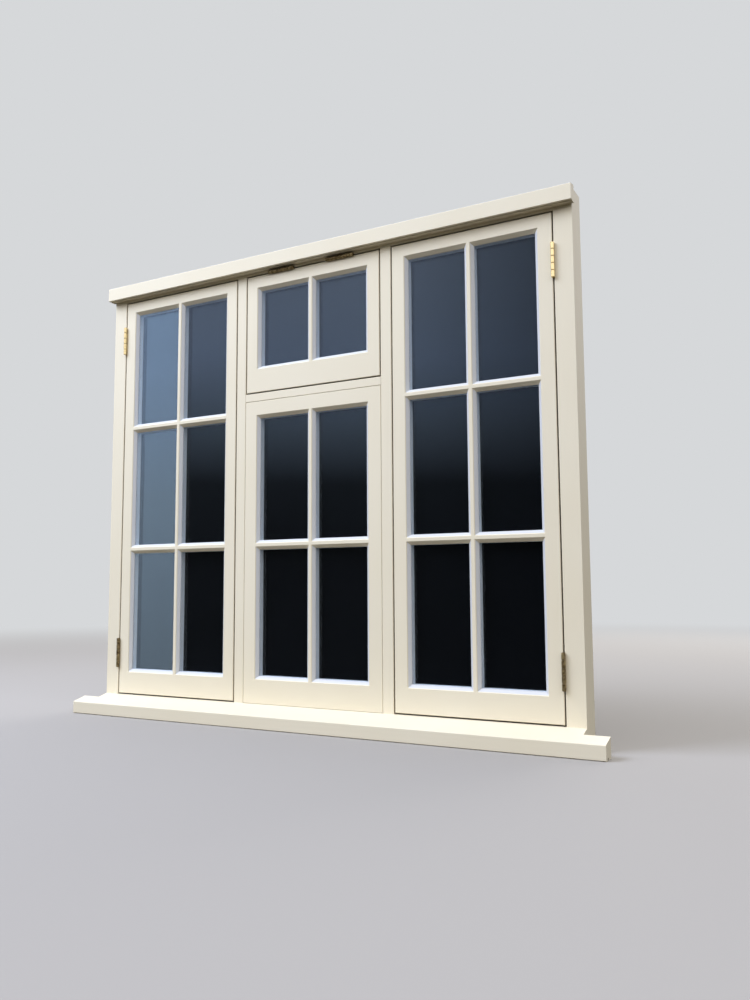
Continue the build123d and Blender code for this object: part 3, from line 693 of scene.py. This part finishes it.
def leaves(hinges, first_knuckle):
    """The leaves on one side of some hinges, with every second knuckle and their screws."""
    boxes = []
    rings = []
    heads = []
    half = HINGE_LENGTH / 2
    for middle, along, side in hinges:
        boxes.append(leaf_slab(middle, along, side, (-half, half), (LEAF_NOTCH, LEAF_DEPTH)))
        for number in range(first_knuckle, KNUCKLE_COUNT, 2):
            at = (number - (KNUCKLE_COUNT - 1) / 2) * KNUCKLE_PITCH
            reach = (KNUCKLE_PITCH - KNUCKLE_GAP) / 2
            boxes.append(leaf_slab(middle, along, side, (at - reach, at + reach), (0, LEAF_NOTCH)))
            rings.append((middle + along * at, along))
        for at, back in LEAF_SCREWS:
            place = middle + along * at + side * LEAF_FACES[0] + Vector((0, back, 0))
            heads.append((place, -side))
    return joined([
        slabs(boxes),
        copies(knuckle(), rings, NO_TURN, weathered_brass),
        copies(screw_head(), heads, SLOT_TURN, weathered_brass),
    ])


POINT_COPIES = copies_tree()
frame_hinges = []
for light, (along, side) in LIGHT_HINGES.items():
    middles = hinge_middles(light, along)
    frame_hinges += [(middle, along, side) for middle in middles]
    sash_hinges = [(middle, along, -side) for middle in middles]
    sash_mesh = leaves(sash_hinges, SASH_KNUCKLE)
    sash_leaves = new_piece(f"{light}_butt_leaves", sash_mesh, weathered_brass)
    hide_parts(f"{light}_hinge_leaves")
    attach(sash_leaves, light)
frame_mesh = leaves(frame_hinges, FRAME_KNUCKLE)
frame_leaves = new_piece("frame_butt_leaves", frame_mesh, weathered_brass)
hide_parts("hinge_frame_leaves")
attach(frame_leaves, "frame")


# Fixing screws: the same slotted brass screws, countersunk into the plates of the fasteners,
# strikers, stay brackets and pegs. Each plate has them where its own moving piece passes clear.

PLATE_THICKNESS = 0.0025
PLATE_SCREW_RISE = 0.0235
STRIKER_HALF_WIDTH = 0.0045
STRIKER_SCREW_RISE = 0.018
BRACKET_SCREW_OUT = 0.0115
BRACKET_SCREW_HEIGHTS = (0.0043, 0.0233)
INWARD = Vector((0, 1, 0))
UP = Vector((0, 0, 1))

# Pegs stand at two shares of their arm's length from its pivot, on plates below the arm.
PEG_PLATE_THICKNESS = 0.002
PEG_SCREW_OUT = 0.011
PEG_SHARES = (0.35, 0.7)
PEG_BASE_DROP = 0.017
SIDE_ARM = 0.25
VENT_ARM = 0.15

# Each stay's light, the way along X that its arm points at rest, and the arm's length.
STAYS = {
    "left_stay": ("left_casement", 1, SIDE_ARM),
    "right_stay": ("right_casement", -1, SIDE_ARM),
    "vent_stay": ("vent", -1, VENT_ARM),
}

fixings = {"frame": [], "left_casement": [], "right_casement": [], "vent": []}
striker_low, striker_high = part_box("fastener_strikers")
for side in ("left", "right"):
    low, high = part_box(f"{side}_fastener_plate")
    x = (low.x + high.x) / 2
    z = (low.z + high.z) / 2
    striker_x = striker_low.x if side == "left" else striker_high.x
    striker_x -= math.copysign(STRIKER_HALF_WIDTH, striker_x)
    for step in (-1, 1):
        place = Vector((x, low.y + PLATE_THICKNESS, z + step * PLATE_SCREW_RISE))
        fixings[f"{side}_casement"].append((place, INWARD))
        place = Vector((striker_x, striker_high.y, z + step * STRIKER_SCREW_RISE))
        fixings["frame"].append((place, INWARD))
for stay, (light, towards, length) in STAYS.items():
    low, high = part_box(f"{stay}_bracket")
    x = (low.x + high.x) / 2
    for step in (-1, 1):
        for rise in BRACKET_SCREW_HEIGHTS:
            place = Vector((x + step * BRACKET_SCREW_OUT, low.y + PLATE_THICKNESS, low.z + rise))
            fixings[light].append((place, INWARD))
    arm_low, arm_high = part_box(f"{stay}_arm")
    peg_y = (arm_low.y + arm_high.y) / 2
    peg_z = arm_low.z - PEG_BASE_DROP + PEG_PLATE_THICKNESS
    for share in PEG_SHARES:
        for step in (-1, 1):
            peg_x = x + towards * length * share + step * PEG_SCREW_OUT
            fixings["frame"].append((Vector((peg_x, peg_y, peg_z)), UP))
for body, points in fixings.items():
    screw_mesh = copies(screw_head(), points, SLOT_TURN, indoor_brass)
    screws = new_piece(f"{body}_fixing_screws", screw_mesh, indoor_brass)
    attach(screws, body)


# Studio: a plain pale floor that fades into a pale background, a soft overcast dome and two large
# lamps. Sharp mirrors, which only the panes are, see a deeper sky of their own, so that the glass
# is as dark as by day. Satin paint and brass see the dome, and the camera sees the background.

BACKGROUND = "d6d8da"

# Heights are shares of the way from straight down, 0, to straight up, 1. Each stop is a height,
# a colour and a strength.
DOME_STOPS = (
    (0.0, "6a655c", 1.0),
    (0.5, "8d8a84", 0.8),
    (0.58, "ccd2dc", 1.0),
    (0.66, "f5f3f8", 1.76),
    (0.8, "eef0fa", 1.66),
    (1.0, "e8eefc", 1.2),
)
MIRRORED_STOPS = (
    (0.0, "26282a", 1.0),
    (0.52, "282b2f", 1.0),
    (0.56, "3a4149", 1.0),
    (0.59, "93a5c0", 1.0),
    (0.63, "b6ccf6", 1.3),
    (0.8, "d8e6ff", 1.3),
)
PALE_SIDE_STOPS = (
    (0.45, "9fb2c8", 2.4),
    (0.55, "a9c0dc", 3.0),
    (0.62, "a9c4ec", 3.4),
)

# Slopes are X over Y of a ray. The mirrored sky brightens from the first slope to the second,
# and rays that point outwards see a pale band in it between two soft edges.
SKY_RISE_SLOPES = (0.3, 0.53)
SKY_RISE_STRENGTHS = (0.42, 1.05)
PALE_SIDE_START = (0.884, 0.898)
PALE_SIDE_END = (1.15, 1.35)

# A ray whose Y is high points to the room side, where mirrors see the background instead of
# the sky and the dome is dimmer.
ROOM_SIDE = (-0.05, 0.1)
ROOM_DIMMING = (-0.2, 0.4)
ROOM_STRENGTH = 0.55

scene = bpy.context.scene
scene.view_settings.view_transform = "Standard"

world = bpy.data.worlds.new("overcast_studio")
scene.world = world
world.use_nodes = True
sky_tree = world.node_tree
sky_output = next(n for n in sky_tree.nodes if n.type == "BACKGROUND")
sky_place = add(sky_tree, "ShaderNodeTexCoord").outputs["Generated"]
sky_axes = add(sky_tree, "ShaderNodeSeparateXYZ", {0: sky_place})
sky_height = add(sky_tree, "ShaderNodeMapRange", {
    "Value": sky_axes.outputs["Z"],
    "From Min": -1.0,
    "From Max": 1.0,
}).outputs[0]


def set_stops(ramp, stops):
    """Gives a colour ramp its stops, each a height, a hex colour and a strength."""
    elements = ramp.color_ramp.elements
    while len(elements) < len(stops):
        elements.new(0.5)
    for element, (height, hex_code, strength) in zip(elements, stops):
        element.position = height
        red, green, blue, _ = linear(hex_code)
        element.color = (red * strength, green * strength, blue * strength, 1.0)


dome = add(sky_tree, "ShaderNodeValToRGB", {0: sky_height})
set_stops(dome, DOME_STOPS)
mirrored_height = add(sky_tree, "ShaderNodeValToRGB", {0: sky_height})
set_stops(mirrored_height, MIRRORED_STOPS)
pale_side = add(sky_tree, "ShaderNodeValToRGB", {0: sky_height})
set_stops(pale_side, PALE_SIDE_STOPS)
slope = add(sky_tree, "ShaderNodeMath", {
    0: sky_axes.outputs["X"],
    1: sky_axes.outputs["Y"],
}, operation="DIVIDE")
outwards = add(sky_tree, "ShaderNodeMath", {
    0: sky_axes.outputs["Y"],
    1: 0.0,
}, operation="LESS_THAN")
side_edges = []
for start, end in (PALE_SIDE_START, PALE_SIDE_END):
    side_edges.append(add(sky_tree, "ShaderNodeMapRange", {
        "Value": slope.outputs[0],
        "From Min": start,
        "From Max": end,
    }, interpolation_type="SMOOTHSTEP"))
side_width = add(sky_tree, "ShaderNodeMath", {
    0: side_edges[0].outputs[0],
    1: side_edges[1].outputs[0],
}, operation="SUBTRACT")
side_amount = add(sky_tree, "ShaderNodeMath", {
    0: side_width.outputs[0],
    1: outwards.outputs[0],
}, operation="MULTIPLY")
sky_rise = add(sky_tree, "ShaderNodeMapRange", {
    "Value": slope.outputs[0],
    "From Min": SKY_RISE_SLOPES[0],
    "From Max": SKY_RISE_SLOPES[1],
    "To Min": SKY_RISE_STRENGTHS[0],
    "To Max": SKY_RISE_STRENGTHS[1],
})
mirrored_deep = add(sky_tree, "ShaderNodeVectorMath", {
    0: mirrored_height.outputs[0],
    "Scale": sky_rise.outputs[0],
}, operation="SCALE")
mirrored_front = add(sky_tree, "ShaderNodeMix", {
    MIX_AMOUNT: side_amount.outputs[0],
    MIX_FIRST: mirrored_deep.outputs[0],
    MIX_SECOND: pale_side.outputs[0],
}, data_type="RGBA")
room_side = add(sky_tree, "ShaderNodeMapRange", {
    "Value": sky_axes.outputs["Y"],
    "From Min": ROOM_SIDE[0],
    "From Max": ROOM_SIDE[1],
})
mirrored_sky = add(sky_tree, "ShaderNodeMix", {
    MIX_AMOUNT: room_side.outputs[0],
    MIX_FIRST: mirrored_front.outputs[MIX_RESULT],
    MIX_SECOND: linear(BACKGROUND),
}, data_type="RGBA")
room_dimming = add(sky_tree, "ShaderNodeMapRange", {
    "Value": sky_axes.outputs["Y"],
    "From Min": ROOM_DIMMING[0],
    "From Max": ROOM_DIMMING[1],
    "To Min": 1.0,
    "To Max": ROOM_STRENGTH,
})
dome_dimmed = add(sky_tree, "ShaderNodeVectorMath", {
    0: dome.outputs[0],
    "Scale": room_dimming.outputs[0],
}, operation="SCALE")
rays = add(sky_tree, "ShaderNodeLightPath")
sky_lit = add(sky_tree, "ShaderNodeMix", {
    MIX_AMOUNT: rays.outputs["Is Singular Ray"],
    MIX_FIRST: dome_dimmed.outputs[0],
    MIX_SECOND: mirrored_sky.outputs[MIX_RESULT],
}, data_type="RGBA")
sky_shown = add(sky_tree, "ShaderNodeMix", {
    MIX_AMOUNT: rays.outputs["Is Camera Ray"],
    MIX_FIRST: sky_lit.outputs[MIX_RESULT],
    MIX_SECOND: linear(BACKGROUND),
}, data_type="RGBA")
sky_tree.links.new(sky_shown.outputs[MIX_RESULT], sky_output.inputs["Color"])
sky_output.inputs["Strength"].default_value = 1.0

# The floor is matt and pale to the camera, and darker to bounced light, so that undersides stay
# as deep as above open ground. It fades into the background some metres out.
FLOOR_REACH = 30.0
FLOOR_THICKNESS = 0.02
FLOOR_FADE = (2.2, 6.0)
FLOOR_SHOWN = "aca79f"
FLOOR_BOUNCED = "3c372e"

floor_low = (-FLOOR_REACH, -FLOOR_REACH, -FLOOR_THICKNESS)
floor_high = (FLOOR_REACH, FLOOR_REACH, 0.0)
floor_paint = bpy.data.materials.new("pale_studio_floor")
floor_paint.use_nodes = True
floor_tree = floor_paint.node_tree
floor_tree.nodes.clear()
floor_place = add(floor_tree, "ShaderNodeTexCoord").outputs["Object"]
floor_distance = add(floor_tree, "ShaderNodeVectorMath", {0: floor_place}, operation="LENGTH")
floor_fade = add(floor_tree, "ShaderNodeMapRange", {
    "Value": floor_distance.outputs["Value"],
    "From Min": FLOOR_FADE[0],
    "From Max": FLOOR_FADE[1],
}, interpolation_type="SMOOTHSTEP")
floor_near = add(floor_tree, "ShaderNodeBsdfDiffuse", {"Color": linear(FLOOR_SHOWN)})
floor_far = add(floor_tree, "ShaderNodeEmission", {"Color": linear(BACKGROUND)})
floor_seen = add(floor_tree, "ShaderNodeMixShader", {
    0: floor_fade.outputs[0],
    1: floor_near.outputs[0],
    2: floor_far.outputs[0],
})
floor_bounce = add(floor_tree, "ShaderNodeBsdfDiffuse", {"Color": linear(FLOOR_BOUNCED)})
floor_rays = add(floor_tree, "ShaderNodeLightPath")
floor_mix = add(floor_tree, "ShaderNodeMixShader", {
    0: floor_rays.outputs["Is Camera Ray"],
    1: floor_bounce.outputs[0],
    2: floor_seen.outputs[0],
})
floor_output = add(floor_tree, "ShaderNodeOutputMaterial")
floor_tree.links.new(floor_mix.outputs[0], floor_output.inputs["Surface"])
floor = new_piece("studio_floor", slabs([(floor_low, floor_high)]), floor_paint)
floor.visible_glossy = False
floor.visible_transmission = False

# The sky lamp hangs outside, high on the left, and the other lights the room side of the window.
# Places and sizes are in metres, and powers in watts.
SKY_LAMP_PLACE = (-1.7, -1.7, 3.0)
SKY_LAMP_TARGET = (0.0, 0.0, 1.15)
SKY_LAMP_SIZE = 1.8
SKY_LAMP_POWER = 114
SKY_LAMP_COLOUR = "d0deff"
ROOM_LAMP_PLACE = (0.8, 4.0, 2.6)
ROOM_LAMP_TARGET = (0.0, 0.0, 0.5)
ROOM_LAMP_SIZE = 3.0
ROOM_LAMP_POWER = 70
ROOM_LAMP_COLOUR = "ffffff"


def soft_lamp(name, place, target, size, power, hex_code):
    """One square area lamp turned to its target, which no glossy surface mirrors."""
    lamp = bpy.data.lights.new(name, "AREA")
    lamp.size = size
    lamp.energy = power
    lamp.color = linear(hex_code)[:3]
    holder = bpy.data.objects.new(name, lamp)
    facing = (Vector(target) - Vector(place)).to_track_quat("-Z", "Y")
    holder.matrix_world = Matrix.Translation(place) @ facing.to_matrix().to_4x4()
    holder.visible_glossy = False
    holder.visible_transmission = False
    scene.collection.objects.link(holder)


soft_lamp("sky_lamp", SKY_LAMP_PLACE, SKY_LAMP_TARGET, SKY_LAMP_SIZE, SKY_LAMP_POWER,
          SKY_LAMP_COLOUR)
soft_lamp("room_side_lamp", ROOM_LAMP_PLACE, ROOM_LAMP_TARGET, ROOM_LAMP_SIZE, ROOM_LAMP_POWER,
          ROOM_LAMP_COLOUR)


# Camera: at the photograph's place in front and to the right of the window, a little below
# its middle and tilted up, with the long side of the picture on a 36 mm sensor.

CAMERA_PLACE = (1.0871, -1.6708, 0.3220)
CAMERA_TURN = math.radians(28.694)
CAMERA_TILT = math.radians(5.720)
CAMERA_ROLL = math.radians(-0.326)
CAMERA_LENS = 30.89
CAMERA_SENSOR = 36.0
CAMERA_NEAR = 0.01
CAMERA_FAR = 200.0

view = bpy.data.cameras.new("photo_view")
view.lens = CAMERA_LENS
view.sensor_width = CAMERA_SENSOR
view.clip_start = CAMERA_NEAR
view.clip_end = CAMERA_FAR
camera = bpy.data.objects.new("photo_view", view)
camera.matrix_world = (
    Matrix.Translation(CAMERA_PLACE)
    @ Matrix.Rotation(CAMERA_TURN, 4, "Z")
    @ Matrix.Rotation(math.pi / 2 + CAMERA_TILT, 4, "X")
    @ Matrix.Rotation(CAMERA_ROLL, 4, "Z")
)
scene.collection.objects.link(camera)
scene.camera = camera
